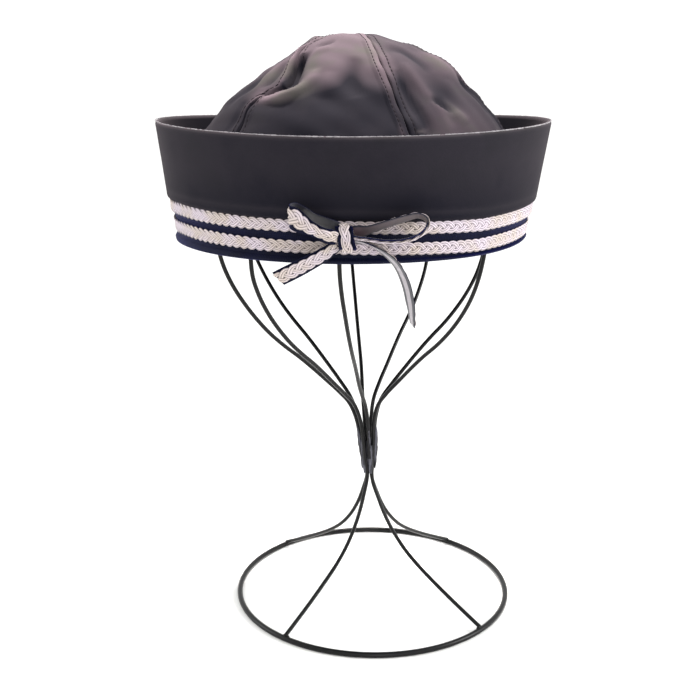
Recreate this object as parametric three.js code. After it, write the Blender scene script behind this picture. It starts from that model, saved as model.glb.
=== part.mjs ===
// A sailor cap on a wire hat stand, in millimetres, +Z up.
// The cap is a six-gore cotton crown in a deep turned-up brim. Two rounds of navy-edged ribbon with a
// white plait go round the foot of the brim and are tied in a bow at the front, which faces -Y.
// The stand is a base ring and four bent wires that meet in a neck and open into a cage in the crown.
import * as THREE from "three";

// Driving dimensions of the cap.
const HAT_FOOT = 214.5; // the brim's lower fold, above the floor
const BRIM_RIM = 275.9; // mean height of the rim
const RIM_SHIFT = 1.2; // how far the rim sits to the right of the crown's foot
const RIM_SIDE_RISE = 1.5; // the rim is higher at the two sides than at front and back
const RIM_BACK_RISE = 0.8; // and a little higher behind than in front
const CROWN_CLOTH = 1.5; // one layer with its seam turnings
const GAP = 0.3; // clear space kept between neighbouring pieces
const SEAM_GAP = 0.4; // between two gores
const GORE_COUNT = 6;
const FIRST_SEAM = 19; // degrees from the front towards the right
const GORE_SWELL = 1.2; // a gore's middle stands out past its seams
const ROUND_STEPS = 48; // flats round the brim and the ribbons
const RIBBON_ROWS = 3; // flats across a ribbon's width

// Driving dimensions of the ribbon, which is the same in the two rounds and in the bow.
const TAPE_WIDTH = 10;
const TAPE_THICK = 0.8;
const PLAIT_WIDTH = 6.3;
const PLAIT_THICK = 0.9;
const TAPE_LOWER_FOOT = 217.8; // lower edge of the lower round
const TAPE_UPPER_FOOT = 227.95; // lower edge of the upper round

// Driving dimensions of the stand.
const RING_RADIUS = 79.6;
const RING_WIRE = 3.1;
const RING_SIDES = 8;
const RING_STEPS = 48;
const STAND_WIRE = 2.1;
const WIRE_SIDES = 6;
const WIRE_STEPS = 60;
const STAND_SHIFT = 13; // the ring's centre lies to the right of the cap's

const BRIM_DEPTH = BRIM_RIM - HAT_FOOT;
const degrees = THREE.MathUtils.degToRad;

const COTTON = { color: 0x33313a, roughness: 0.9, metalness: 0 };
const NAVY_TAPE = { color: 0x12143a, roughness: 0.8, metalness: 0 };
const WHITE_PLAIT = { color: 0xd8cdd3, roughness: 0.85, metalness: 0 };
const BLACK_WIRE = { color: 0x17181a, roughness: 0.4, metalness: 0.6 };

function named(name, geometry, finish) {
  const mesh = new THREE.Mesh(geometry, new THREE.MeshStandardMaterial(finish));
  mesh.name = name;
  return mesh;
}

// A point at an angle in degrees from the front towards the right, a radius and a height.
function around(angle, radius, height) {
  const turn = degrees(angle);
  return new THREE.Vector3(radius * Math.sin(turn), -radius * Math.cos(turn), height);
}

// Reads one named column of a table at a value of its key column, in straight lines between rows.
function lookUp(table, key, value, column) {
  const above = table.findIndex((row) => row[key] >= value);
  if (above === 0) return table[0][column];
  if (above < 0) return table[table.length - 1][column];
  const low = table[above - 1];
  const high = table[above];
  const share = (value - low[key]) / (high[key] - low[key]);
  return THREE.MathUtils.lerp(low[column], high[column], share);
}

// A cloth wall: two faces sampled on one grid and joined along their edges. place(across, up, outside)
// gives a point for across and up from 0 to 1, on the outer face when outside is 1.
function wall(columns, rows, closedRound, place) {
  const points = [];
  const triangles = [];
  const perFace = (columns + 1) * (rows + 1);
  for (const outside of [1, 0]) {
    for (let i = 0; i <= columns; i += 1) {
      const across = closedRound && i === columns ? 0 : i / columns;
      for (let j = 0; j <= rows; j += 1) {
        points.push(...place(across, j / rows, outside).toArray());
      }
    }
  }
  const outer = (i, j) => (closedRound ? i % columns : i) * (rows + 1) + j;
  const inner = (i, j) => outer(i, j) + perFace;
  const quad = (a, b, c, d) => triangles.push(a, b, c, a, c, d);
  for (let i = 0; i < columns; i += 1) {
    for (let j = 0; j < rows; j += 1) {
      quad(outer(i, j), outer(i + 1, j), outer(i + 1, j + 1), outer(i, j + 1));
      quad(inner(i, j), inner(i, j + 1), inner(i + 1, j + 1), inner(i + 1, j));
    }
    quad(inner(i, 0), inner(i + 1, 0), outer(i + 1, 0), outer(i, 0));
    quad(outer(i, rows), outer(i + 1, rows), inner(i + 1, rows), inner(i, rows));
  }
  if (!closedRound) {
    for (let j = 0; j < rows; j += 1) {
      quad(inner(0, j), outer(0, j), outer(0, j + 1), inner(0, j + 1));
      quad(outer(columns, j), inner(columns, j), inner(columns, j + 1), outer(columns, j + 1));
    }
  }
  const geometry = new THREE.BufferGeometry();
  geometry.setAttribute("position", new THREE.Float32BufferAttribute(points, 3));
  geometry.setIndex(triangles);
  return geometry;
}

// Crown. Its outline from the foot to the top, as the radius on the left and on the right.
const CROWN_OUTLINE = [
  { height: 216.3, left: 90.5, right: 90.5 },
  { height: 238, left: 89.5, right: 90 },
  { height: 256, left: 86, right: 88 },
  { height: 269, left: 79.5, right: 83.5 },
  { height: 279.8, left: 71.2, right: 76 },
  { height: 291.4, left: 59.6, right: 65.5 },
  { height: 299, left: 49.5, right: 58.5 },
  { height: 305.5, left: 40.8, right: 51.5 },
  { height: 312, left: 31.8, right: 39.5 },
  { height: 317.4, left: 22.6, right: 26 },
  { height: 320.3, left: 12, right: 12.5 },
  { height: 321, left: 1.6, right: 1.6 },
];

// The crown's soft hollows. Each is deepest at its angle and height, and reach says how far it spreads
// along the cloth, in degrees and in millimetres of height.
const CROWN_DENTS = [
  { angle: -30, height: 303, depth: 4.5, reachAround: 13, reachUp: 9 },
  { angle: -50, height: 292, depth: 2.5, reachAround: 9, reachUp: 6 },
  { angle: -8, height: 288, depth: 2, reachAround: 16, reachUp: 8 },
  { angle: 42, height: 287, depth: 3, reachAround: 12, reachUp: 7 },
  { angle: 68, height: 303, depth: -2, reachAround: 14, reachUp: 8 },
  { angle: 110, height: 296, depth: 2.5, reachAround: 16, reachUp: 10 },
  { angle: 172, height: 300, depth: 3.5, reachAround: 18, reachUp: 10 },
  { angle: -130, height: 298, depth: 3, reachAround: 16, reachUp: 10 },
];

const crownCurve = new THREE.CatmullRomCurve3(
  CROWN_OUTLINE.map((row) => new THREE.Vector3(row.left, row.right, row.height)),
);
const CROWN_ROWS = 12;
const GORE_COLUMNS = 7;

function dentDepth(angle, height) {
  let depth = 0;
  for (const dent of CROWN_DENTS) {
    const away = THREE.MathUtils.euclideanModulo(angle - dent.angle + 180, 360) - 180;
    const around = away / dent.reachAround;
    const up = (height - dent.height) / dent.reachUp;
    depth += dent.depth * Math.exp(-around * around - up * up);
  }
  return depth;
}

// A point of the crown at an angle and a share of the way from foot to top, standing out of the
// smooth outline by proud.
function crownPoint(angle, share, proud) {
  const outline = crownCurve.getPointAt(share);
  const slope = crownCurve.getTangentAt(share);
  const lean = (outline.y - outline.x) / 2;
  const radius = (outline.x + outline.y) / 2 + lean * Math.sin(degrees(angle));
  const inwards = (slope.x + slope.y) / 2;
  const length = Math.hypot(slope.z, inwards);
  return around(
    angle,
    radius + (proud * slope.z) / length,
    outline.z - (proud * inwards) / length,
  );
}

function crownGore(firstAngle) {
  const span = 360 / GORE_COUNT;
  return wall(GORE_COLUMNS, CROWN_ROWS, false, (across, up, outside) => {
    const outline = crownCurve.getPointAt(up);
    const turning = THREE.MathUtils.radToDeg(SEAM_GAP / (outline.x + outline.y));
    const angle = firstAngle + turning + (span - 2 * turning) * across;
    const visible = THREE.MathUtils.smoothstep(outline.z, HAT_FOOT, CROWN_OUTLINE[3].height);
    const fades = Math.min(1, outline.x / CROWN_OUTLINE[9].left);
    const swell = GORE_SWELL * (Math.sin(Math.PI * across) - 0.5) * visible * fades;
    const dent = dentDepth(angle, outline.z) * fades;
    return crownPoint(angle, up, swell - dent - (outside ? 0 : CROWN_CLOTH));
  });
}

// Brim. Its section from the edge turned in under the crown, round the lower fold and up to the rim.
// The ribbons bind it up to 238 mm, and the cloth swells out above them.
const BRIM_SECTION = [
  { outerRadius: 89.2, outerHeight: 214.5, innerRadius: 89.2, innerHeight: 215.9 },
  { outerRadius: 94.3, outerHeight: 214.5, innerRadius: 90.9, innerHeight: 215.9 },
  { outerRadius: 95.8, outerHeight: 215.6, innerRadius: 91.0, innerHeight: 216.6 },
  { outerRadius: 95.3, outerHeight: 217.1, innerRadius: 91.2, innerHeight: 217.3 },
  { outerRadius: 93.6, outerHeight: 217.7, innerRadius: 91.3, innerHeight: 218.2 },
  { outerRadius: 93.8, outerHeight: 223.0, innerRadius: 91.5, innerHeight: 223.2 },
  { outerRadius: 95.0, outerHeight: 227.0, innerRadius: 92.7, innerHeight: 227.3 },
  { outerRadius: 96.0, outerHeight: 231.0, innerRadius: 93.8, innerHeight: 231.2 },
  { outerRadius: 96.5, outerHeight: 238.3, innerRadius: 94.3, innerHeight: 239.4 },
  { outerRadius: 99.5, outerHeight: 240.0, innerRadius: 97.0, innerHeight: 241.8 },
  { outerRadius: 101.4, outerHeight: 248.0, innerRadius: 99.2, innerHeight: 248.3 },
  { outerRadius: 103.4, outerHeight: 261.0, innerRadius: 101.2, innerHeight: 261.3 },
  { outerRadius: 105.3, outerHeight: 275.9, innerRadius: 103.1, innerHeight: 275.9 },
];
const BRIM_ROWS = BRIM_SECTION.length - 1;

// The ribbons rise and dip a little, and the cloth that they bind goes with them.
const RIBBON_RISE = [
  { angle: -180, rise: -0.4 },
  { angle: -110, rise: 0 },
  { angle: -62, rise: 1.1 },
  { angle: -30, rise: 0 },
  { angle: 0, rise: -0.4 },
  { angle: 40, rise: -2.4 },
  { angle: 66, rise: -0.9 },
  { angle: 120, rise: 0 },
  { angle: 180, rise: -0.4 },
];
const RISE_ZONE = { foot: 215, full: 219, falls: 240, top: 268 };

// A point seen from the crown's foot as angle, radius and height, moved as the brim's waves move it.
function onWaves(angle, radius, height) {
  const turn = degrees(angle);
  const lift = Math.max(0, (height - HAT_FOOT) / BRIM_DEPTH);
  const rimWave = -RIM_SIDE_RISE * Math.cos(2 * turn) - RIM_BACK_RISE * Math.cos(turn);
  const wrapped = THREE.MathUtils.euclideanModulo(angle + 180, 360) - 180;
  const rise = lookUp(RIBBON_RISE, "angle", wrapped, "rise");
  const { smoothstep } = THREE.MathUtils;
  const bound = smoothstep(height, RISE_ZONE.foot, RISE_ZONE.full);
  const free = smoothstep(height, RISE_ZONE.falls, RISE_ZONE.top);
  const point = around(angle, radius, height + rimWave * lift * lift + rise * (bound - free));
  point.x += RIM_SHIFT * lift;
  return point;
}

function brimGeometry() {
  return wall(ROUND_STEPS, BRIM_ROWS, true, (across, up, outside) => {
    const row = BRIM_SECTION[Math.round(up * BRIM_ROWS)];
    const radius = outside ? row.outerRadius : row.innerRadius;
    const height = outside ? row.outerHeight : row.innerHeight;
    return onWaves(360 * across, radius, height);
  });
}

function brimRadius(height) {
  const above = Math.max(height, BRIM_SECTION[4].outerHeight);
  return lookUp(BRIM_SECTION, "outerHeight", above, "outerRadius");
}

// One round of ribbon or plait, laid on the brim's outer face or standing off it.
function roundOfRibbon(foot, width, standOff, thick) {
  return wall(ROUND_STEPS, RIBBON_ROWS, true, (across, up, outside) => {
    const height = foot + width * up;
    return onWaves(360 * across, brimRadius(height) + standOff + (outside ? thick : 0), height);
  });
}

// Bow. Each strand of ribbon follows points given by their place along the front (x), how far they
// stand off the brim, their height, how far the ribbon's upper edge leans out, in degrees, and how
// wide the ribbon is there, because the knot gathers it.
const BOW_LOOP_LEFT = [
  { x: -6.6, off: 5.2, height: 232.2, lean: 15, width: 7 },
  { x: -11.5, off: 6.2, height: 235.6, lean: 40, width: 8 },
  { x: -17, off: 6.6, height: 237.8, lean: 42, width: 9 },
  { x: -22, off: 7, height: 238.4, lean: 28, width: 10 },
  { x: -26.2, off: 8.8, height: 237.4, lean: 10, width: 10 },
  { x: -26.8, off: 11.2, height: 236, lean: 8, width: 10 },
  { x: -23, off: 12.4, height: 235, lean: 20, width: 9.5 },
  { x: -18.5, off: 12.4, height: 233.4, lean: 45, width: 9 },
  { x: -13.5, off: 11.6, height: 231, lean: 45, width: 8.5 },
  { x: -9.5, off: 10.4, height: 229.2, lean: 20, width: 7.5 },
  { x: -6.6, off: 9.2, height: 228.4, lean: 0, width: 6 },
];
const BOW_LOOP_RIGHT = [
  { x: 1.5, off: 5.2, height: 230.5, lean: 20, width: 7 },
  { x: 8, off: 6.8, height: 232, lean: 55, width: 9 },
  { x: 16, off: 8.2, height: 234.4, lean: 65, width: 10 },
  { x: 24.5, off: 9, height: 236.8, lean: 68, width: 10 },
  { x: 31, off: 9.4, height: 237, lean: 60, width: 10 },
  { x: 34.2, off: 10.2, height: 234.8, lean: 55, width: 10 },
  { x: 32.4, off: 11.6, height: 231.6, lean: 60, width: 10 },
  { x: 26.5, off: 12, height: 229.4, lean: 65, width: 10 },
  { x: 16, off: 11.2, height: 228.6, lean: 68, width: 9 },
  { x: 7, off: 9.8, height: 229, lean: 55, width: 8 },
  { x: 1.5, off: 8.8, height: 228.6, lean: 20, width: 6.6 },
];
const BOW_TAIL_LEFT = [
  { x: -6.4, off: 5.6, height: 224.6, lean: 30, width: 7.5 },
  { x: -11, off: 6.6, height: 221, lean: 35, width: 9 },
  { x: -22, off: 7.4, height: 214.6, lean: 35, width: 10 },
  { x: -34, off: 7.8, height: 208, lean: 35, width: 10 },
];
const BOW_TAIL_RIGHT = [
  { x: 1.8, off: 5.2, height: 222.4, lean: 30, width: 5.6 },
  { x: 8.5, off: 6.8, height: 222.6, lean: 60, width: 8.4 },
  { x: 15, off: 8.4, height: 220.8, lean: 66, width: 9.6 },
  { x: 20.8, off: 9.4, height: 216.6, lean: 66, width: 10 },
  { x: 25.4, off: 10, height: 208.6, lean: 66, width: 10 },
  { x: 28.2, off: 10.2, height: 197.6, lean: 68, width: 10 },
  { x: 28.9, off: 9.8, height: 186.6, lean: 70, width: 10 },
];
const BOW_THICK = 1.2;
const KNOT = { x: -2.4, height: 228, wide: 7.2, tall: 14, off: 3.2, thick: 7 };

// A point in front of the brim, given by its place along the front instead of an angle.
function beforeBrim(x, off, height) {
  const radius = brimRadius(height) + off;
  const angle = THREE.MathUtils.radToDeg(Math.asin(x / radius));
  return around(angle, radius, height);
}

function bowStrand(rows, steps) {
  const path = new THREE.CatmullRomCurve3(rows.map((row) => beforeBrim(row.x, row.off, row.height)));
  const shapes = new THREE.SplineCurve(rows.map((row) => new THREE.Vector2(row.lean, row.width)));
  return wall(steps, 1, false, (across, up, outside) => {
    const along = path.getTangent(across);
    const shape = shapes.getPoint(across);
    const lean = degrees(shape.x);
    const width = new THREE.Vector3(0, -Math.sin(lean), Math.cos(lean));
    width.addScaledVector(along, -width.dot(along)).normalize();
    const face = new THREE.Vector3().crossVectors(along, width);
    const point = path.getPoint(across);
    point.addScaledVector(width, shape.y * (up - 0.5));
    return point.addScaledVector(face, BOW_THICK * (outside - 0.5));
  });
}

function knotGeometry() {
  const shape = new THREE.SphereGeometry(0.5, 12, 8);
  shape.scale(KNOT.wide, KNOT.thick, KNOT.tall);
  const middle = beforeBrim(KNOT.x, KNOT.off + KNOT.thick / 2, KNOT.height);
  return shape.translate(middle.x, middle.y, middle.z);
}

// Stand. Base ring: its section is a polygon with a flat side down on the floor.
function ringGeometry() {
  const corner = RING_WIRE / 2 / Math.cos(Math.PI / RING_SIDES);
  const section = [];
  for (let side = 0; side <= RING_SIDES; side += 1) {
    const turn = ((2 * (side % RING_SIDES) + 1) * Math.PI) / RING_SIDES;
    const radius = RING_RADIUS + corner * Math.sin(turn);
    section.push(new THREE.Vector2(radius, RING_WIRE / 2 - corner * Math.cos(turn)));
  }
  return new THREE.LatheGeometry(section, RING_STEPS).rotateX(Math.PI / 2);
}

// The stand's upright line leans from the ring's centre to the cap's.
const STAND_LINE = [
  { height: 0, x: STAND_SHIFT },
  { height: 76, x: 10.7 },
  { height: 105, x: 9 },
  { height: 205, x: 0.4 },
  { height: 320, x: 0 },
];
// Distance of a leg from that line.
const LEG = [
  { height: 4.1, radius: 77.3 },
  { height: 10, radius: 65.3 },
  { height: 20, radius: 46.3 },
  { height: 32, radius: 27.5 },
  { height: 46, radius: 14.4 },
  { height: 60, radius: 6.6 },
  { height: 73, radius: 1.8 },
];
// The legs' four wires and the four returning rib ends lie side by side in the neck.
const NECK = [
  { height: 78, radius: 1.9 },
  { height: 84, radius: 3.2 },
  { height: 92, radius: 4.2 },
  { height: 101, radius: 4.4 },
];
const NECK_TWIST = -34; // angle of the first wire in the neck
const NECK_PITCH = -45; // from a wire that goes up to the one that comes back down beside it
// Distance of a rib from the line, up the outside of the cage and over its top.
const RIB = [
  { height: 108, radius: 5.9 },
  { height: 118, radius: 9.8 },
  { height: 132, radius: 23.2 },
  { height: 148, radius: 39.8 },
  { height: 165, radius: 59.2 },
  { height: 185, radius: 74.9 },
  { height: 205, radius: 83.4 },
  { height: 230, radius: 84.8 },
  { height: 250, radius: 80.5 },
  { height: 266, radius: 73 },
  { height: 281, radius: 60 },
  { height: 294, radius: 45.5 },
  { height: 304, radius: 31 },
  { height: 311, radius: 20 },
];
const PETAL_TIP = { height: 313.5, radius: 13.5 };
const RIBS_OPEN = { from: 101, to: 132 }; // a rib turns from its place in the neck to its own angle
const RIBS_DRAWN = { from: 281, to: 330, share: 0.5 }; // a petal's two ribs draw together over the top
const RIBS_IN_CAP = { from: 195, to: 225 }; // the crown holds the ribs to one shape

// One row for each wire: the angle of its leg, of the rib that goes up from the leg and of the rib
// that comes back down to the neck. Reach is how far each rib is bent out, against the others.
const WIRES = [
  { name: "wire_front_left", leg: -38, rib: -35, ribReach: 1.03, back: -55, backReach: 0.95 },
  { name: "wire_front_right", leg: 48, rib: 54, ribReach: 0.98, back: -4, backReach: 0.97 },
  { name: "wire_back_right", leg: 140, rib: 146, ribReach: 1.06, back: 113, backReach: 1.03 },
  { name: "wire_back_left", leg: 224, rib: 229, ribReach: 0.98, back: 181, backReach: 1 },
];

function onStandLine(angle, radius, height) {
  const point = around(angle, radius, height);
  point.x += lookUp(STAND_LINE, "height", height, "x");
  return point;
}

function wireGeometry(wire, index) {
  const up = NECK_TWIST + 90 * index;
  const down = up + NECK_PITCH;
  const middle = (wire.rib + wire.back) / 2;
  const route = [];
  for (const row of LEG) {
    route.push(onStandLine(wire.leg, row.radius, row.height));
  }
  for (const row of NECK) {
    route.push(onStandLine(up, row.radius, row.height));
  }
  const ribPoint = (row, inNeck, outside, reach) => {
    const { lerp, smoothstep } = THREE.MathUtils;
    const opened = smoothstep(row.height, RIBS_OPEN.from, RIBS_OPEN.to);
    const drawn = RIBS_DRAWN.share * smoothstep(row.height, RIBS_DRAWN.from, RIBS_DRAWN.to);
    const angle = lerp(inNeck, lerp(outside, middle, drawn), opened);
    const bentOut = opened * (1 - smoothstep(row.height, RIBS_IN_CAP.from, RIBS_IN_CAP.to));
    return onStandLine(angle, row.radius * lerp(1, reach, bentOut), row.height);
  };
  for (const row of RIB) {
    route.push(ribPoint(row, up, wire.rib, wire.ribReach));
  }
  route.push(onStandLine(middle, PETAL_TIP.radius, PETAL_TIP.height));
  for (const row of RIB.toReversed()) {
    route.push(ribPoint(row, down, wire.back, wire.backReach));
  }
  for (const row of NECK.slice(1).toReversed()) {
    route.push(onStandLine(down, row.radius, row.height));
  }
  const section = new THREE.Shape();
  for (let side = 0; side < WIRE_SIDES; side += 1) {
    const turn = (2 * Math.PI * side) / WIRE_SIDES;
    const x = (STAND_WIRE / 2) * Math.cos(turn);
    const y = (STAND_WIRE / 2) * Math.sin(turn);
    if (side === 0) section.moveTo(x, y);
    else section.lineTo(x, y);
  }
  return new THREE.ExtrudeGeometry(section, {
    steps: WIRE_STEPS,
    extrudePath: new THREE.CatmullRomCurve3(route, false, "centripetal"),
  });
}

const cap = new THREE.Group();
for (let gore = 0; gore < GORE_COUNT; gore += 1) {
  const firstAngle = FIRST_SEAM + (gore * 360) / GORE_COUNT;
  cap.add(named(`crown_gore_${gore + 1}`, crownGore(firstAngle), COTTON));
}
cap.add(named("brim", brimGeometry(), COTTON));
const edge = (TAPE_WIDTH - PLAIT_WIDTH) / 2;
for (const [place, foot] of [["lower", TAPE_LOWER_FOOT], ["upper", TAPE_UPPER_FOOT]]) {
  const tape = roundOfRibbon(foot, TAPE_WIDTH, GAP, TAPE_THICK);
  const plaitOff = GAP + TAPE_THICK + GAP;
  const plait = roundOfRibbon(foot + edge, PLAIT_WIDTH, plaitOff, PLAIT_THICK);
  cap.add(named(`tape_${place}`, tape, NAVY_TAPE));
  cap.add(named(`plait_${place}`, plait, WHITE_PLAIT));
}
cap.add(named("bow_knot", knotGeometry(), WHITE_PLAIT));
cap.add(named("bow_loop_left", bowStrand(BOW_LOOP_LEFT, 16), WHITE_PLAIT));
cap.add(named("bow_loop_right", bowStrand(BOW_LOOP_RIGHT, 18), WHITE_PLAIT));
cap.add(named("bow_tail_left", bowStrand(BOW_TAIL_LEFT, 6), WHITE_PLAIT));
cap.add(named("bow_tail_right", bowStrand(BOW_TAIL_RIGHT, 10), WHITE_PLAIT));

const stand = new THREE.Group();
const ring = named("base_ring", ringGeometry(), BLACK_WIRE);
ring.position.x = STAND_SHIFT;
stand.add(ring);
WIRES.forEach((wire, index) => stand.add(named(wire.name, wireGeometry(wire, index), BLACK_WIRE)));

// The origin is on the floor, below the middle of the whole object.
const whole = new THREE.Group();
whole.add(cap, stand);
const middle = new THREE.Box3().setFromObject(whole, true).getCenter(new THREE.Vector3());
whole.position.set(-middle.x, -middle.y, 0);
whole.updateMatrixWorld(true);

const object = new THREE.Group();
object.add(whole);
export default object;
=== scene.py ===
import math

import bmesh
import bpy
import numpy as np
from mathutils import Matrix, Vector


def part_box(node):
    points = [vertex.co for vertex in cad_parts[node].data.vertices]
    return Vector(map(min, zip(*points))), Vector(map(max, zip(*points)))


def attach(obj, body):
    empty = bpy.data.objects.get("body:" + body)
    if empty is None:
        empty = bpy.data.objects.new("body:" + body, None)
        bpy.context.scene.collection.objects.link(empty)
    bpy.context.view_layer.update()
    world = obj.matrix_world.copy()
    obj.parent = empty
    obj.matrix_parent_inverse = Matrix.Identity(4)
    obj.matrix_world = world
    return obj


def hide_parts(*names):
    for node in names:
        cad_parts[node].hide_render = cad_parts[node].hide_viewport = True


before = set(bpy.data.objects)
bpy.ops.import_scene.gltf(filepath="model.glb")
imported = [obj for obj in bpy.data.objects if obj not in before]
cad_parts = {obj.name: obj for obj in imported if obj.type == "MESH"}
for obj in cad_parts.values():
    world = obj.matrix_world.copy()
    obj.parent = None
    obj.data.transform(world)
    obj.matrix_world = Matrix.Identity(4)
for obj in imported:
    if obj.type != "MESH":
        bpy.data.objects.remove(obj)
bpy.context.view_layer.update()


# Display table ----------
# The cap and its stand are shown on a plain pale table. A broad soft light hangs above, the room
# is evenly bright, and the eye is a little above the rim, in front of the bow.
MM = 0.001
RING_TO_CAP = 13 * MM  # the stand leans, so its ring lies to the right of the cap
EYE = np.array([-0.486, -577.72, 300.36])
EYE_DROP = math.radians(14.732)
LENS = 53.904
TABLE_HALF = 40.0
TABLE_PAINT = "#F6F6F4"
ROOM_LIGHT = 1.2

scene = bpy.context.scene
scene.view_settings.view_transform = "Standard"

ring_low, ring_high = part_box("base_ring")
ring_centre = (ring_low + ring_high) / 2
cap_axis = np.array([ring_centre.x - RING_TO_CAP, ring_centre.y, 0.0])


def in_place(points):
    """Points in millimetres from the foot of the cap's own axis, as places in the frame."""
    return np.asarray(points, float) * MM + cap_axis


def linear(colour):
    """An sRGB hex colour as the linear colour that a shader takes."""
    parts = [int(colour[at:at + 2], 16) / 255 for at in (1, 3, 5)]
    return [*(c / 12.92 if c <= 0.04045 else ((c + 0.055) / 1.055) ** 2.4 for c in parts), 1.0]


def new_finish(name):
    made = bpy.data.materials.new(name)
    made.use_nodes = True
    made.node_tree.nodes.clear()
    return made


def add_node(finish, kind, inputs=(), **settings):
    """Adds one shader node with its settings. Each input is a value or another node's output."""
    made = finish.node_tree.nodes.new("ShaderNode" + kind)
    for name, value in settings.items():
        setattr(made, name, value)
    for socket, value in dict(inputs).items():
        if isinstance(value, bpy.types.NodeSocket):
            finish.node_tree.links.new(value, made.inputs[socket])
        else:
            made.inputs[socket].default_value = value
    return made.outputs


# Emulsion paint: dead matt, so no lamp is mirrored in it.
table_paint = new_finish("matt_emulsion_paint")
paint = add_node(table_paint, "BsdfPrincipled", {"Base Color": linear(TABLE_PAINT), "Roughness": 0.9})
add_node(table_paint, "OutputMaterial", {"Surface": paint[0]})

table_mesh = bpy.data.meshes.new("table_top")
corners = [(-1, -1), (1, -1), (1, 1), (-1, 1)]
table_mesh.from_pydata([(TABLE_HALF * x, TABLE_HALF * y, 0.0) for x, y in corners], [], [(0, 1, 2, 3)])
table_mesh.materials.append(table_paint)
table_top = bpy.data.objects.new("table_top", table_mesh)
scene.collection.objects.link(table_top)

room = bpy.data.worlds.new("bright_room")
room.use_nodes = True
room.node_tree.nodes["Background"].inputs["Color"].default_value = (1, 1, 1, 1)
room.node_tree.nodes["Background"].inputs["Strength"].default_value = ROOM_LIGHT
scene.world = room

# Each lamp: its kind, where it is, in metres from the table under the cap, how wide it is, its watts
# and tint. The overhead lamp is snooted down to the crown.
LAMPS = {
    "overhead_lamp": ("SPOT", (0.06, 0.40, 1.30), 0.10, 190.0, "#FFF6F4"),
    "right_softbox": ("AREA", (1.5, -0.25, 0.85), 0.8, 22.0, "#FFFFFF"),
    "left_softbox": ("AREA", (-1.7, 0.20, 0.75), 0.8, 9.0, "#FFFFFF"),
    "front_softbox": ("AREA", (0.12, -1.3, 0.55), 0.25, 2.6, "#FFFFFF"),
}
SNOOT = math.radians(16)
SNOOT_EDGE = 0.7  # how much of the lit circle is its soft edge
LAMPS_AIM = (0, 0, 290)
for name, (kind, place, wide, watts, tint) in LAMPS.items():
    lamp = bpy.data.lights.new(name, kind)
    if kind == "SPOT":
        lamp.spot_size = SNOOT
        lamp.spot_blend = SNOOT_EDGE
        lamp.shadow_soft_size = wide
    else:
        lamp.size = wide
    lamp.energy = watts
    lamp.color = linear(tint)[:3]
    hung = bpy.data.objects.new(name, lamp)
    hung.location = cap_axis + np.array(place)
    aim = in_place(LAMPS_AIM) - np.array(hung.location)
    hung.rotation_mode = "QUATERNION"
    hung.rotation_quaternion = Vector(aim).to_track_quat("-Z", "Y")
    scene.collection.objects.link(hung)

eye = bpy.data.objects.new("eye", bpy.data.cameras.new("eye"))
eye.data.lens = LENS
eye.data.clip_end = 200
eye.location = in_place(EYE)
eye.rotation_euler = (math.pi / 2 - EYE_DROP, 0, 0)
scene.collection.objects.link(eye)
scene.camera = eye


# Stand wires ----------
# The stand is mild steel wire, bent by hand over a former, welded and then painted black. Four wires
# run up from the base ring, through the neck and on as ribs, and bend back down to the neck.
WIRE_RADIUS = 1.12
WIRE_SIDES = 14
FOOT_LAP = 2.0  # a leg's foot runs on over the base ring
BLACK_PAINT = "#030304"
PAINT_DUST = "#0F0F11"
SHARP = math.radians(50)  # faces that meet at more than this show a hard edge


def rings_of(node):
    """The corners of each ring of a bent wire's CAD solid, from its foot to its other end."""
    solid = bmesh.new()
    solid.from_mesh(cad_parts[node].data)
    bmesh.ops.remove_doubles(solid, verts=solid.verts, dist=1e-6)
    solid.verts.ensure_lookup_table()
    foot = min(solid.verts, key=lambda corner: corner.co.z)
    near = sorted(solid.verts, key=lambda corner: (corner.co - foot.co).length)
    ring, seen, rings = set(near[:6]), set(near[:6]), []
    while ring:
        rings.append(np.array([corner.co for corner in ring]))
        joined = {edge.other_vert(corner) for corner in ring for edge in corner.link_edges}
        ring = joined - seen
        seen |= ring
    solid.free()
    return rings


def smooth_line(points, count):
    """Evenly spaced points of the centripetal spline through points, of any dimension."""
    points = np.asarray(points, float)
    ends = [2 * points[0] - points[1]], points, [2 * points[-1] - points[-2]]
    padded = np.concatenate(ends)
    steps = np.sqrt(np.linalg.norm(np.diff(padded, axis=0), axis=1)).clip(1e-6)
    dense = []
    for at in range(len(points) - 1):
        p0, p1, p2, p3 = padded[at:at + 4]
        d0, d1, d2 = steps[at:at + 3]
        leave = ((p1 - p0) / d0 - (p2 - p0) / (d0 + d1) + (p2 - p1) / d1) * d1
        arrive = ((p2 - p1) / d1 - (p3 - p1) / (d1 + d2) + (p3 - p2) / d2) * d1
        t = np.linspace(0, 1, 24, endpoint=False)[:, None]
        curve = (2 * t**3 - 3 * t**2 + 1) * p1 + (t**3 - 2 * t**2 + t) * leave
        dense.append(curve + (3 * t**2 - 2 * t**3) * p2 + (t**3 - t**2) * arrive)
    dense = np.concatenate([*dense, points[-1:]])
    run = np.concatenate([[0], np.cumsum(np.linalg.norm(np.diff(dense, axis=0), axis=1))])
    even = np.linspace(0, run[-1], count)
    return np.stack([np.interp(even, run, column) for column in dense.T], -1)


def unit(vectors):
    return vectors / np.linalg.norm(vectors, axis=-1, keepdims=True).clip(1e-12)


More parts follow.
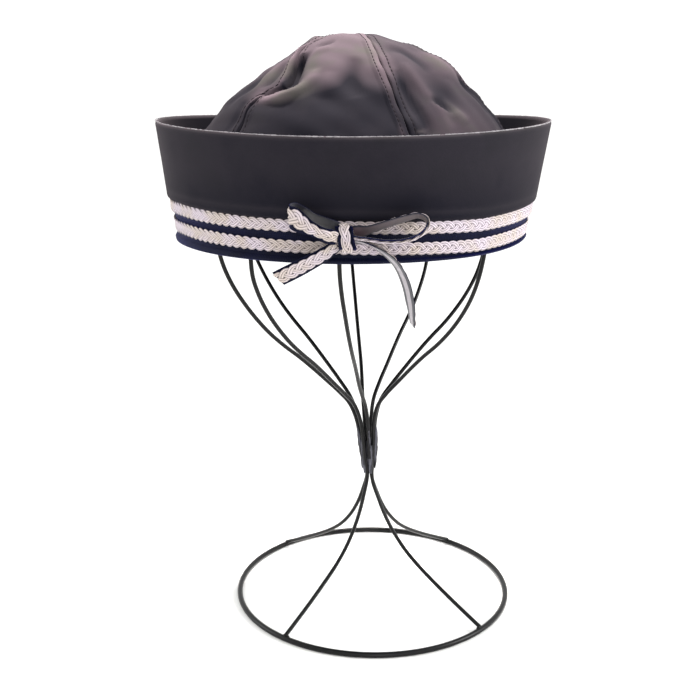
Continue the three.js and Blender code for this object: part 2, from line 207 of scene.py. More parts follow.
def tube(line, radius, sides):
    """The rings of a round tube along a line. The rings don't twist against each other."""
    along = unit(np.gradient(line, axis=0))
    across = [unit(np.cross(along[0], [0.3, 0.2, 0.9]))]
    for step in along[1:]:
        across.append(unit(across[-1] - step * (across[-1] @ step)))
    across = np.array(across)
    up = np.cross(along, across)
    turn = np.linspace(0, 2 * np.pi, sides, endpoint=False)[:, None]
    radius = np.broadcast_to(radius, len(line))[:, None, None]
    ring = across[:, None] * np.cos(turn) + up[:, None] * np.sin(turn)
    return line[:, None] + ring * radius


def sweep(loops, closed=False, grain=None):
    """The faces of a solid swept through loops of points: one loop for each step along it."""
    loops = np.asarray(loops, float)
    steps, sides = loops.shape[:2]
    i, k = np.meshgrid(np.arange(steps if closed else steps - 1), np.arange(sides), indexing="ij")
    ahead, beside = (i + 1) % steps, (k + 1) % sides
    faces = np.stack([i * sides + k, ahead * sides + k, ahead * sides + beside, i * sides + beside], -1)
    if grain is None:
        onwards = np.linalg.norm(np.diff(loops.mean(1), axis=0, append=loops[:1].mean(1)), axis=1)
        sideways = np.linalg.norm(loops - np.roll(loops, -1, axis=1), axis=2).mean(0)
        run = np.concatenate([[0], np.cumsum(onwards)])
        round_it = np.concatenate([[0], np.cumsum(sideways)])
        cuts = [(run[i], round_it[k]), (run[i + 1], round_it[k])]
        cuts += [(run[i + 1], round_it[k + 1]), (run[i], round_it[k + 1])]
        cloth = np.stack([np.stack(cut, -1) for cut in cuts], 2)
    else:
        cloth = grain.reshape(-1, 2)[faces]
    faces, cloth, side = faces.reshape(-1, 4), cloth.reshape(-1, 4, 2), k.reshape(-1)
    if not closed:
        pair = np.arange(sides // 2 - 1)
        cap = np.stack([pair, pair + 1, sides - 2 - pair, sides - 1 - pair], -1)
        caps = np.concatenate([cap, cap[:, ::-1] + (steps - 1) * sides])
        faces = np.concatenate([faces, caps])
        cloth = np.concatenate([cloth, np.zeros((len(caps), 4, 2))])
        side = np.concatenate([side, np.zeros(len(caps), int)])
    return loops.reshape(-1, 3), faces, cloth, side


def piece(name, parts, finishes, finish_of=None, fade_and_painted_light=None):
    """One mesh from swept parts, in place, in millimetres from the cap's axis. It rides on the root.

    finish_of gives a face's finish for its side of the loop, and worn is how pale each point is
    painted: partly faded cloth, partly painted light and shade."""
    points, faces, cloth, side = [], [], [], []
    first = 0
    for part in parts:
        points.append(part[0])
        faces.append(part[1] + first)
        cloth.append(part[2])
        side.append(part[3])
        first += len(part[0])
    mesh = bpy.data.meshes.new(name)
    mesh.from_pydata(in_place(np.concatenate(points)).tolist(), [], np.concatenate(faces).tolist())
    grain = mesh.uv_layers.new(name="grain")
    grain.data.foreach_set("uv", (np.concatenate(cloth) * MM).astype(np.float32).ravel())
    for finish in finishes:
        mesh.materials.append(finish)
    if finish_of is not None:
        mesh.polygons.foreach_set("material_index", finish_of(np.concatenate(side)).astype(np.int32))
    if fade_and_painted_light is not None:
        faded_and_painted_lit = mesh.attributes.new("fade_and_painted_light", "FLOAT", "POINT")
        faded_and_painted_lit.data.foreach_set("value", np.asarray(fade_and_painted_light, np.float32).ravel())
    whole = bmesh.new()
    whole.from_mesh(mesh)
    bmesh.ops.recalc_face_normals(whole, faces=whole.faces)
    whole.to_mesh(mesh)
    whole.free()
    mesh.shade_smooth()
    mesh.set_sharp_from_angle(angle=SHARP)
    made = bpy.data.objects.new(name, mesh)
    scene.collection.objects.link(made)
    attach(made, "root")
    return made


# Black stoving enamel on steel: glossy but brushed on, so the gloss is broken by a faint orange peel,
# and dust greys it in patches. An orange peel of 1.5 mm is drawn as it is.
enamel = new_finish("black_stoving_enamel")
room_place = add_node(enamel, "TexCoord")["Object"]
peel = add_node(enamel, "TexNoise", {"Vector": room_place, "Scale": 1 / 0.0015, "Detail": 2.0})
dust = add_node(enamel, "TexNoise", {"Vector": room_place, "Scale": 1 / 0.03, "Detail": 4.0})
patches = add_node(enamel, "MapRange", {"Value": dust[0], "From Min": 0.45, "From Max": 0.8})
tone = add_node(
    enamel, "Mix", {0: patches[0], 6: linear(BLACK_PAINT), 7: linear(PAINT_DUST)}, data_type="RGBA"
)
gloss = add_node(enamel, "MapRange", {"Value": dust[0], "To Min": 0.22, "To Max": 0.4})
bumps = add_node(enamel, "Bump", {"Strength": 0.25, "Distance": 0.0002, "Height": peel[0]})
skin = {"Base Color": tone[2], "Roughness": gloss[0], "Normal": bumps[0],
        "Specular IOR Level": 0.22}
add_node(enamel, "OutputMaterial", {"Surface": add_node(enamel, "BsdfPrincipled", skin)[0]})

WIRES = ["wire_front_left", "wire_front_right", "wire_back_right", "wire_back_left"]
wire_lines = {}
for node in WIRES:
    middles = (np.array([ring.mean(0) for ring in rings_of(node)]) - cap_axis) / MM
    onto_ring = middles[0] + unit(middles[0] - middles[1]) * FOOT_LAP
    wire_lines[node] = smooth_line([onto_ring, *middles], 320)
    bent = piece(node + "_rod", [sweep(tube(wire_lines[node], WIRE_RADIUS, WIRE_SIDES))], [enamel])
    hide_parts(node)


# Base ring ----------
# One thicker wire rolled to a circle and butt-welded at the back. It lies on the table, and the four
# legs are welded to its inner side.
RING_WIRE = (ring_high.z - ring_low.z) / MM / 2
RING_RADIUS = (ring_high.x - ring_low.x) / MM / 2 - RING_WIRE
RING_JOINT = np.pi * 0.93  # the butt weld's angle from the front
JOINT_SWELL = 0.12
JOINT_REACH = 2.2
turn = np.linspace(0, 2 * np.pi, 180, endpoint=False)
ring_x = (ring_centre.x - cap_axis[0]) / MM
circle = np.stack(
    [ring_x + RING_RADIUS * np.sin(turn), -RING_RADIUS * np.cos(turn), np.full(180, RING_WIRE)], -1
)
from_joint = RING_RADIUS * np.abs((turn - RING_JOINT + np.pi) % (2 * np.pi) - np.pi)
thick = RING_WIRE * (1 + JOINT_SWELL * np.exp(-((from_joint / JOINT_REACH) ** 2)))
around = np.stack([np.sin(turn), -np.cos(turn), np.zeros(180)], -1)
side_turn = np.linspace(0, 2 * np.pi, 16, endpoint=False)[None, :, None]
ring_loops = circle[:, None] + thick[:, None, None] * (
    around[:, None] * np.cos(side_turn) + np.array([0, 0, 1.0]) * np.sin(side_turn)
)
ring_loops[..., 2] = ring_loops[..., 2].clip(0)
base_ring = piece("base_ring_rod", [sweep(ring_loops, closed=True)], [enamel])
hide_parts("base_ring")


# Welds ----------
# A lumpy bead of weld metal joins each leg to the ring and is painted with the rest. In the neck,
# long runs of brazing between the wires and over them close it up, and the paint has worn off them.
LEG_BEAD = 2.3  # half a leg weld's length
NECK_FOOT = 74.4
NECK_TOP = 103.0
NECK_BEAD = 1.5
NECK_STEPS = 19
FLANK_FOOT = 77
FLANK_TOP = 104
FLANK_BEAD = 1.2
FRONT_RAISED = 5  # how much higher the front run lies than those at the sides


def bead(line, radii, seed):
    """A lumpy run of weld along a line."""
    lumps = np.random.default_rng(seed)
    rings = tube(line, np.asarray(radii), 12)
    middle = rings.mean(1, keepdims=True)
    return sweep(middle + (rings - middle) * lumps.uniform(0.86, 1.14, rings.shape[:2] + (1,)))


beads = []
swell = np.sin(np.linspace(0.12, np.pi - 0.12, 9))
for seed, line in enumerate(wire_lines.values()):
    foot = line[0]
    outwards = unit(np.array([foot[0] - ring_x, foot[1], 0]))
    on_ring = np.array([ring_x, 0, RING_WIRE]) + outwards * RING_RADIUS
    seam = on_ring + (np.array([0, 0, 1]) - outwards) * 0.62 * RING_WIRE
    along_ring = np.cross(outwards, [0, 0, 1])
    run = seam + along_ring * np.linspace(-LEG_BEAD, LEG_BEAD, 9)[:, None]
    beads.append(bead(run, 1.0 * swell**0.6 + 0.05, seed))
leg_welds = piece("leg_welds", beads, [enamel])

beads = []
neck_wires = []
for line in wire_lines.values():
    inside = (line[:, 2] > NECK_FOOT) & (line[:, 2] < NECK_TOP)
    climbing = np.arange(len(line)) < len(line) / 2
    neck_wires += [line[inside & climbing], line[inside & ~climbing][::-1]]
for seed, one in enumerate(neck_wires):
    other = neck_wires[(seed + 1) % len(neck_wires)]
    heights = np.linspace(NECK_FOOT, NECK_TOP - 7 - 2 * (seed % 3), NECK_STEPS)
    ends = [
        np.stack([np.interp(heights, wire[:, 2], wire[:, at]) for at in (0, 1)], -1)
        for wire in (one, other)
    ]
    run = np.column_stack([(ends[0] + ends[1]) / 2, heights])
    taper = np.sin(np.linspace(0.2, np.pi - 0.1, NECK_STEPS)) ** 0.4
    beads.append(bead(run, NECK_BEAD * taper, 20 + seed))

# Three more runs fill out the neck's left and right sides and its front.
heights = np.linspace(FLANK_FOOT, FLANK_TOP, NECK_STEPS)
bundle = np.array([
    [np.interp(heights, wire[:, 2], wire[:, at]) for at in (0, 1)] for wire in neck_wires
])
left, right = bundle[:, 0].min(0), bundle[:, 0].max(0)
front = bundle[:, 1].min(0)
flank = FLANK_BEAD * np.sin(np.linspace(0.05, np.pi - 0.05, NECK_STEPS)) ** 0.6
beads.append(bead(np.column_stack([left - 0.4, front + 2.4, heights]), flank, 41))
beads.append(bead(np.column_stack([right + 0.7, front + 2.2, heights]), 1.2 * flank, 42))
front_x = (left + right) / 2 + 0.7
beads.append(bead(np.column_stack([front_x, front - 0.7, heights + FRONT_RAISED]), 0.75 * flank, 43))

# Brazing: grey metal, filed smooth, with the black paint rubbed thin over it.
brazing = new_finish("rubbed_brazing")
here = add_node(brazing, "TexCoord")["Object"]
drawn_out = add_node(brazing, "Mapping", {"Vector": here, "Scale": (1, 1, 0.12)})
rubs = add_node(brazing, "TexNoise", {"Vector": drawn_out[0], "Scale": 1 / 0.0018, "Detail": 3.0})
bare = add_node(brazing, "MapRange", {"Value": rubs[0], "From Min": 0.4, "From Max": 0.62})
metal_tone = add_node(
    brazing, "Mix", {0: bare[0], 6: linear("#121216"), 7: linear("#56565F")}, data_type="RGBA"
)
filed = add_node(brazing, "Bump", {"Strength": 0.3, "Distance": 0.0002, "Height": rubs[0]})
add_node(brazing, "OutputMaterial", {"Surface": add_node(brazing, "BsdfPrincipled", {
    "Base Color": metal_tone[2], "Roughness": 0.38, "Metallic": 0.6, "Normal": filed[0],
})[0]})
neck_welds = piece("neck_welds", beads, [brazing])


# Crown ----------
# Six curved triangles of dark cotton twill, cut flat and sewn together. Each seam is pressed open and
# topstitched on both sides, and the cloth hangs slack between the ribs in soft hollows and folds.
CROWN_OUTLINE = [  # height, radius on the left, radius on the right
    (216.3, 90.5, 90.5), (238, 89.5, 90), (256, 86, 88), (269, 79.5, 83.5), (279.8, 71.2, 76),
    (291.4, 59.6, 65.5), (299, 49.5, 58.5), (305.5, 40.8, 51.5), (312, 31.8, 39.5),
    (317.4, 22.6, 26), (320.3, 12, 12.5), (321, 1.6, 1.6),
]
GORES = 6
FIRST_SEAM = 19.0  # degrees from the front towards the right
CLOTH_THICK = 1.2
TOP_BUTTONHOLE = 16.0  # the seams meet this far behind the cap's axis
STITCH_ROW = 3.4  # from the seam
STITCH_PITCH = 2.9
STITCH_LONG = 2.2
STITCHED_FROM = 46  # the rows of stitches start this far up the panel, hidden by the brim,
STITCHED_SHORT = 9  # and stop this far short of its point
CROWN_ROWS = 112
# Columns of the mesh beside a seam, by their distance from it, and how many lie between.
BESIDE_SEAM = np.array([0, 0.35, 0.8, 1.3, 1.9, 2.5, 3.0, 3.4, 3.8, 4.4, 5.2, 6.4, 8.0])
BETWEEN = 30
# The two front seams are slack, so they wander: height, degrees.
SEAM_WANDER = {
    0: [(216, 1.5), (262, 2.0), (278, 1.2), (290, 0.2), (304, -0.6), (315, 0), (321, 0)],
    5: [
        (216, 0), (262, -3), (282.4, -7), (286, -7.5), (289, -6), (292, -2), (295.2, 4.5), (300, 2),
        (306.4, -3), (312.4, -7), (319, 0), (321, 0),
    ],
}

outline = smooth_line(CROWN_OUTLINE, 600)
shares = np.linspace(0, 1, 600)


def crown_point(angle, share):
    """A point of the smooth crown at an angle in radians and a share of the way up the cloth."""
    height, left, right = (np.interp(share, shares, outline[:, at]) for at in range(3))
    radius = (left + right) / 2 + (right - left) / 2 * np.sin(angle)
    return np.stack([radius * np.sin(angle), -radius * np.cos(angle), height], -1)


def crown_above(x, y):
    """Angle and share of the crown's point above or below a place seen from the top."""
    angle = np.arctan2(x, -y)
    low, high = np.zeros_like(x), np.ones_like(x)
    for _ in range(22):
        middle = (low + high) / 2
        wide = np.hypot(*np.moveaxis(crown_point(angle, middle)[..., :2], -1, 0)) > np.hypot(x, y)
        low, high = np.where(wide, middle, low), np.where(wide, high, middle)
    return angle, low


def ease(value, low, high):
    share = np.clip((value - low) / (high - low), 0, 1)
    return share * share * (3 - 2 * share)


def crown_place(angle, height):
    """A point of the smooth crown at an angle in degrees and a height."""
    return crown_point(np.radians(angle), np.interp(height, outline[:, 0], shares))


# Folds of the crown. Each is a line on it, as angles and heights, then how deep it is (a ridge where
# that is below 0), how far it reaches to each side, and how much further on its left than its right.
FOLDS = [
    ([(-44, 311), (-40.8, 305), (-37, 300), (-34.2, 296.5), (-36.5, 293)], 7.6, 3.8, 0.25),
    ([(-58, 314), (-47, 307), (-41, 301), (-37.5, 295)], -1.9, 1.7, -0.3),
    ([(-112, 317), (-92, 319), (-72, 318.4)], -1.9, 3.2, 0.0),
    ([(-32, 295), (-36.5, 293.2), (-41, 291.8), (-48, 291)], 3.2, 1.5, 0.0),
    ([(-47, 287.6), (-40, 288.2), (-30, 289.6), (-24.5, 293), (-21, 298), (-21, 303)], -2.6, 3.6, 0.3),
    ([(-57.5, 307), (-52.5, 302), (-50, 298), (-51.5, 294)], 1.9, 2.3, 0.3),
    ([(-61, 306), (-58, 298), (-55, 292)], -1.0, 3.0, 0.0),
    ([(-57, 288), (-54.5, 284), (-53, 279), (-53, 272)], 1.1, 1.6, 0.0),
    ([(-36, 314), (-27, 315), (-17, 316.4)], 1.4, 2.2, 0.2),
    ([(-34, 310), (-25, 311.6), (-14, 312)], -0.9, 2.6, 0.0),
    ([(4, 308), (0.5, 302.5), (0.5, 297), (3, 290)], 1.9, 4.4, 0.0),
    ([(-12, 301), (-11, 296), (-12, 290)], -0.9, 5.0, 0.0),
    ([(23.8, 303), (25, 296), (26.5, 288), (27.5, 279), (28.5, 270)], 2.2, 3.0, 0.0),
    ([(31, 306), (33, 298), (35, 291), (37, 283), (38, 274)], -1.3, 3.2, 0.2),
    ([(35, 289), (38, 286.6), (41, 284.4), (43.5, 281.6)], 2.2, 2.4, 0.45),
    ([(40, 287.5), (44, 283), (47, 277)], -1.5, 4.0, 0.0),
    ([(30, 313), (41, 311.4), (44, 307), (45, 301)], 1.5, 3.6, 0.0),
    ([(63, 311), (57, 305), (54, 298)], -1.4, 4.6, 0.0),
    ([(84, 306), (86, 297), (85, 286), (84, 276)], 2.2, 3.0, -0.2),
    ([(72, 300), (71, 290), (70, 281)], 1.5, 3.6, 0.0),
    ([(97, 298), (103, 291), (107, 281)], 2.2, 4.6, 0.3),
    ([(134, 305), (131, 295), (131, 283)], 2.4, 3.2, 0.2),
    ([(146, 303), (150, 294), (158, 285)], 2.3, 4.6, 0.0),
    ([(172, 306), (176, 296), (186, 288)], 2.6, 5.4, 0.2),
    ([(193, 300), (192, 288), (193, 277)], 2.0, 3.0, 0.0),
    ([(207, 305), (210, 294), (206, 281)], 2.0, 3.6, 0.2),
    ([(228, 302), (234, 294), (243, 288)], 2.6, 5.0, -0.2),
    ([(254, 304), (253, 293), (255, 281)], 2.2, 3.0, 0.2),
    ([(266, 305), (270, 295), (272, 284)], 2.0, 4.0, 0.0),
    ([(288, 303), (293, 295), (290, 284)], 1.8, 4.6, 0.0),
]
# Soft hollows between the ribs: angle, height, depth, reach in degrees and in height.
HOLLOWS = [
    (-8, 288, 1.6, 16, 8), (42, 290, 1.6, 12, 8), (70, 303, -2, 14, 6),
    (78, 316, 0.3, 30, 4), (78, 298, 0.6, 16, 6), (-84, 312, 1.6, 18, 6),
    (110, 296, 2.5, 16, 10), (172, 300, 3, 18, 10), (-130, 298, 2.5, 16, 10),
]
# Places painted paler or darker: angle, height, how much, reach in degrees and in height. The first
# is a painted highlight on the ridge below the pocket fold, the second, below 0, is painted shade in
# the pocket, and the rest are small paler patches.
RUBBED_AND_PAINTED_LIGHT = [
    (-39, 290.4, 0.9, 13, 3.0), (-35.5, 299.5, -0.6, 4, 6), (-22, 294, 0.22, 6, 4),
    (-14, 302, 0.18, 9, 4), (17.4, 268.6, 0.25, 1.8, 1.6),
    (17.6, 274, 0.2, 1.2, 4), (25, 274.4, 0.35, 2.2, 0.7), (-52, 297, 0.15, 6, 6),
]


def fold_depth(points, facing, path, depth, reach, lean):
    """How deep one fold is at each point. It fades out towards its two ends."""
    line = smooth_line([crown_place(*stop) for stop in path], 44)
    fading = np.sin(np.linspace(0, np.pi, 44)) ** 0.7
    apart = points[:, None] - line[None]
    away = np.linalg.norm(apart, axis=-1)
    nearest = away.argmin(1)
    rows = np.arange(len(points))
    onwards = unit(np.gradient(line, axis=0))[nearest]
    left = np.einsum("ij,ij->i", apart[rows, nearest], np.cross(facing, onwards))
    wide = reach * (1 + lean * np.tanh(left / reach * 1.5))
    return depth * fading[nearest] * np.exp(-((away[rows, nearest] / wide) ** 2))


# Cotton twill, dyed charcoal: dull, with a soft nap that glows at a glancing angle. Where a point
# is marked pale it turns mauve-brown and grey. This is partly dye faded by wear and sun, and partly
# painted light on the lit top, ridges and rim. Where it keeps its dark dye in creases, that is painted
# shade. The twill's 0.6 mm ribs are drawn 0.8 mm wide, to show.
TWILL_RIB = 0.0008
WAVE_PERIOD = 0.31416  # a wave texture's band at scale 1


def cotton_twill(name, dyed, faded_and_painted_lit, soot, nap):
    finish = new_finish(name)
    grain = add_node(finish, "UVMap", uv_map="grain")[0]
    here = add_node(finish, "TexCoord")["Object"]
    ribs = add_node(
        finish, "TexWave", {"Vector": grain, "Scale": WAVE_PERIOD / TWILL_RIB, "Distortion": 0.6,
                            "Detail": 1.0}, wave_type="BANDS", bands_direction="DIAGONAL",
    )
    slubs = add_node(finish, "TexNoise", {"Vector": here, "Scale": 1 / 0.004, "Detail": 3.0})
    blotches = add_node(finish, "TexNoise", {"Vector": here, "Scale": 1 / 0.022, "Detail": 3.0})
    fade_and_painted_light = add_node(finish, "Attribute", attribute_name="fade_and_painted_light")["Fac"]
    uneven = add_node(finish, "Math", {0: blotches[0], 1: 0.2, 2: -0.1}, operation="MULTIPLY_ADD")
    fade_and_light_mix = add_node(finish, "Math", {0: fade_and_painted_light, 1: uneven[0]}, operation="ADD", use_clamp=True)
    hue = add_node(finish, "MapRange", {"Value": blotches[0], "From Min": 0.51, "From Max": 0.68})
    pale = add_node(finish, "Mix", {0: hue[0], 6: linear(faded_and_painted_lit), 7: linear(soot)}, data_type="RGBA")
    dye = add_node(finish, "Mix", {0: fade_and_light_mix[0], 6: linear(dyed), 7: pale[2]}, data_type="RGBA")
    height = add_node(finish, "Math", {0: ribs["Fac"], 1: 0.5, 2: slubs[0]}, operation="MULTIPLY_ADD")
    weave = add_node(finish, "Bump", {"Strength": 0.1, "Distance": 0.0002, "Height": height[0]})
    cloth = add_node(finish, "BsdfPrincipled", {
        "Base Color": dye[2], "Roughness": 0.9, "Specular IOR Level": 0.09, "Sheen Weight": nap,
        "Sheen Roughness": 0.45, "Sheen Tint": linear("#E8D6DC"), "Normal": weave[0],
    })
    add_node(finish, "OutputMaterial", {"Surface": cloth[0]})
    return finish


crown_twill = cotton_twill("faded_and_painted_lit_twill", "#15141C", "#62555B", "#585450", 0.035)
thread = new_finish("polyester_sewing_thread")
here = add_node(thread, "TexCoord")["Object"]
twist = add_node(thread, "TexNoise", {"Vector": here, "Scale": 1500.0})
strand_tone = add_node(
    thread, "Mix", {0: twist[0], 6: linear("#121014"), 7: linear("#2C262B")}, data_type="RGBA"
)
sewn = add_node(thread, "BsdfPrincipled", {
    "Base Color": strand_tone[2], "Roughness": 0.85, "Specular IOR Level": 0.08,
})
add_node(thread, "OutputMaterial", {"Surface": sewn[0]})


def seam_angle(seam, height):
    """Where a seam runs at a height, in degrees."""
    straight = FIRST_SEAM + 60 * seam
    if seam % GORES in SEAM_WANDER:
        return straight + np.interp(height, *np.array(SEAM_WANDER[seam % GORES], float).T)
    return straight + 0.8 * np.sin(height / 9 + 2 * (seam % GORES))


def stitch(start, end, facing):
    """One stitch of thread, sunk into the cloth at both ends."""
    t = np.linspace(0, 1, 5)[:, None]
    line = start + (end - start) * t + facing * (0.34 * np.sin(np.pi * t) - 0.2)
    return sweep(tube(line, 0.24, 6))


drawn = []
for gore in range(GORES):
    up = np.linspace(0, 0.9995, CROWN_ROWS)
    height = np.interp(up, shares, outline[:, 0])
    first, last = (np.radians(seam_angle(gore + at, height)) for at in (0, 1))
    half = np.interp(up, shares, outline[:, 1:].mean(1)) * (last - first) / 2
    squeeze = np.minimum(1, half / 12)[:, None]
    margin = BESIDE_SEAM * squeeze + 0.06
    middle = np.linspace(margin[:, -1], 2 * half - margin[:, -1], BETWEEN + 2).T[:, 1:-1]
    across = np.hstack([margin, middle, 2 * half[:, None] - margin[:, ::-1]]) / (2 * half[:, None])
    angle = first[:, None] + (last - first)[:, None] * across
    flat = crown_point(angle, np.broadcast_to(up[:, None], angle.shape))
    near_top = np.clip(1 - (np.hypot(flat[..., 0], flat[..., 1]) / 50) ** 2, 0, 1) ** 2
    angle, share = crown_above(flat[..., 0], flat[..., 1] + TOP_BUTTONHOLE * near_top)
    cloth = crown_point(angle, share)
    facing = unit(np.cross(np.gradient(cloth, axis=1), np.gradient(cloth, axis=0)))
    outside = cloth.reshape(-1, 3)
    normals = facing.reshape(-1, 3)
    shown = ease(cloth[..., 2], 225, 262)
    depth = np.zeros(len(outside))
    for path, deep, reach, lean in FOLDS:
        depth += fold_depth(outside, normals, path, deep, reach, lean)
    depth = depth.reshape(angle.shape)
    for at, high, deep, reach_round, reach_up in HOLLOWS:
        aside = ((np.degrees(angle) - at + 180) % 360 - 180) / reach_round
        depth += deep * np.exp(-aside**2 - ((cloth[..., 2] - high) / reach_up) ** 2)
    # The folds' and hollows' depth, kept to paint shade in their hollows and highlight on their ridges.
    crease_shade_depth = depth.copy()
    ripples = np.random.default_rng(40)
    for _ in range(9):
        ways = ripples.normal(size=3) / ripples.uniform(3.2, 7.0)
        depth += 0.16 * np.sin(cloth @ ways + ripples.uniform(0, 6.28))
    from_seam = np.minimum(across, 1 - across) * 2 * half[:, None] / squeeze
    tight = shown * squeeze
    pulled = np.sin(outline[:, 0].searchsorted(cloth[..., 2]) / 9.5 + 2.1 * gore)
    depth += tight * 0.32 * pulled * np.exp(-from_seam / 6)
    lap = np.where(across > 0.5, 0.85, 0.25) * (1 - 0.5 * ease(height, 312, 318)[:, None])
    depth += tight * 0.55 * np.exp(-((from_seam / 0.45) ** 2))
    depth -= tight * lap * (ease(from_seam, 0.1, 0.7) - ease(from_seam, 4.2, 5.2))
    depth += tight * 0.3 * np.exp(-(((from_seam - STITCH_ROW) / 0.5) ** 2))
    depth -= 1.1 * (np.sin(np.pi * across) - 0.5) * shown * squeeze
    outer = cloth - facing * depth[..., None]
    inner = cloth - facing * (depth + CLOTH_THICK)[..., None]
    rise = np.interp(share, shares, np.linspace(0, 146, 600))
    grain_u = (across - 0.5) * 2 * half[:, None]
    grain = np.stack([grain_u, rise], -1)
    loops = np.concatenate([outer, inner[:, ::-1]], axis=1)
    both = np.concatenate([grain, grain[:, ::-1]], axis=1)
    # The top is paler: partly bleached by the sun, partly painted light where the overhead lamp falls
    # on it. The panel right of the front seam is painted lighter, as if lit from the right, with
    # painted shade just beside the seam.
    turned = (np.degrees(angle) + 180) % 360 - 180
    fade_and_painted_light = 0.64 * ease(outer[..., 2], 287, 309) * (1 - 0.5 * ease(np.abs(turned), 40, 100))
    # Painted light on the panel right of the front seam.
    right_panel_painted_light = 0.3 * ease(turned, 24.5, 28) * (1 - ease(turned, 42, 80))
    # Painted shade right of the front seam, where the top's paleness is cut to less than half, and in
    # the folds' hollows, with painted highlight on their ridges.
    fade_and_painted_light = np.maximum(fade_and_painted_light * (1 - 0.55 * ease(turned, 21, 30)), right_panel_painted_light) - 0.18 * crease_shade_depth.clip(-3, 4)
    # A painted highlight on the raised strip left of each seam.
    seam_strip_highlight = (across > 0.5) * (ease(from_seam, 0.4, 1.0) - ease(from_seam, 3.4, 4.2))
    fade_and_painted_light += 0.26 * seam_strip_highlight * ease(outer[..., 2], 274, 302)
    # Patches from the table above: painted highlight, painted shade and paler spots.
    for at, high, share, reach_round, reach_up in RUBBED_AND_PAINTED_LIGHT:
        aside, above = (turned - at) / reach_round, (outer[..., 2] - high) / reach_up
        fade_and_painted_light += share * np.exp(-aside ** 2 - above ** 2)
    fade_and_painted_light = np.concatenate([fade_and_painted_light, 0 * fade_and_painted_light], axis=1).clip(0, 1)
    panel = piece(
        f"crown_gore_{gore + 1}_cloth", [sweep(loops, grain=both)], [crown_twill], fade_and_painted_light=fade_and_painted_light
    )
    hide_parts(f"crown_gore_{gore + 1}")

    stitches = []
    for column in (7, across.shape[1] - 8):
        row = outer[:, column] + facing[:, column] * 0.1
        run = np.concatenate([[0], np.cumsum(np.linalg.norm(np.diff(row, axis=0), axis=1))])
        for start in np.arange(STITCHED_FROM, run[-1] - STITCHED_SHORT, STITCH_PITCH):
            ends = [np.array([np.interp(at, run, row[:, axis]) for axis in range(3)])
                    for at in (start, start + STITCH_LONG)]
            out = facing[np.searchsorted(run, start).clip(0, CROWN_ROWS - 1), column]
            stitches.append(stitch(*ends, out))
    rows = piece(f"crown_gore_{gore + 1}_topstitching", stitches, [thread])
    drawn += [outer[-3, 0], outer[-3, outer.shape[1] // 2]]

# The six points are drawn together at the top with crossed stitches.
crossed = [stitch(*ends, np.array([0, 0, 1.2])) for ends in zip(drawn[:GORES], drawn[GORES:])]
top_tack = piece("crown_top_tack", crossed, [thread])


# Brim ----------
# A deep band of the same twill, doubled over a stiffener, sewn to the crown's foot and turned up all
# round. The ribbons bind its foot, and the cloth swells out above them to a soft rolled rim.
FOOT = 214.5
RIM = 275.9
BRIM_SECTION = [  # radius, height: under the foot, up the outside, over the rim, down the inside
    (89.4, 215.1), (90.6, 214.6), (92.6, 214.45), (94.4, 214.6), (95.6, 215.2), (95.85, 216.0),
    (95.4, 217.0), (94.1, 217.8), (93.75, 219.5), (93.8, 223), (95, 227), (96, 231), (96.3, 235.1),
    (97.6, 235.8), (99.1, 236.5), (99.8, 237.8), (100.2, 240.6), (101.5, 249), (103.5, 261.2),
    (105.0, 272.0), (105.35, 274.4), (105.3, 275.4), (104.85, 275.9), (104.2, 276.05),
    (103.5, 275.9), (103.1, 275.3), (103.0, 274.2), (102.6, 271), (101.2, 261.3), (99.2, 248.3),
    (97.2, 242.2), (94.9, 239.6), (94.3, 238), (93.8, 231.2), (92.7, 227.3), (91.6, 223.2),
    (91.3, 218.6), (91.0, 216.8), (90.2, 216.0), (89.5, 215.8),
]
BOUND_FACE = np.array([(217.7, 93.6), (223, 93.8), (227, 95), (231, 96), (238.3, 96.5)])
# How far the ribbons rise at an angle from the front.
RIBBON_RISE = np.array([
    (-180, -0.4), (-110, 0), (-62, 1.1), (-30, 0), (0, -0.4), (40, -2.4), (66, -0.9), (120, 0),
    (180, -0.4),
])
BOUND_TOP = 217.75  # below this the brim's foot is bound in navy ribbon
RIM_THREAD = 0.29
WHIP_PITCH = 1.75  # degrees from one whipping stitch to the next
FOOT_RAISED = 1.6  # the foot is drawn up at the right


def on_waves(angle, radius, height):
    """A point by its angle in degrees, radius and height, moved as the brim's waves move it."""
    turned = np.radians(angle)
    lift = np.maximum(0, (height - FOOT) / (RIM - FOOT))
    wave = -1.5 * np.cos(2 * turned) - 0.8 * np.cos(turned)
    rise = np.interp((angle + 180) % 360 - 180, *RIBBON_RISE.T)
    held = ease(height, 215, 219) - ease(height, 240, 268)
    from_raised = ((angle + 180) % 360 - 262) / 24
    tucked = FOOT_RAISED * np.exp(-from_raised ** 2) * (1 - ease(height, 214, 219))
    return np.stack([
        radius * np.sin(turned) + 1.2 * lift,
        -radius * np.cos(turned),
        height + wave * lift**2 + rise * held + tucked,
    ], -1)


def bound_radius(height):
    return np.interp(height, *BOUND_FACE.T)


brim_twill = cotton_twill("cotton_twill", "#101019", "#4A4448", "#3E3A3C", 0.06)
section = smooth_line(BRIM_SECTION + BRIM_SECTION[:1], 109)[:-1]
angles = np.linspace(-180, 180, 288, endpoint=False)[:, None]
wall = ease(section[:, 1], 240, 262)
soft = np.random.default_rng(8)
waver = sum(
    soft.uniform(0.1, 0.3) / (1 + 0.2 * n) * np.sin(np.radians(n * angles) + soft.uniform(0, 6.3)
                                                     + section[:, 1] / 30) for n in range(2, 12)
)
brim_height = np.broadcast_to(section[:, 1], waver.shape)
brim_loops = on_waves(angles, section[:, 0] + waver * wall, brim_height)
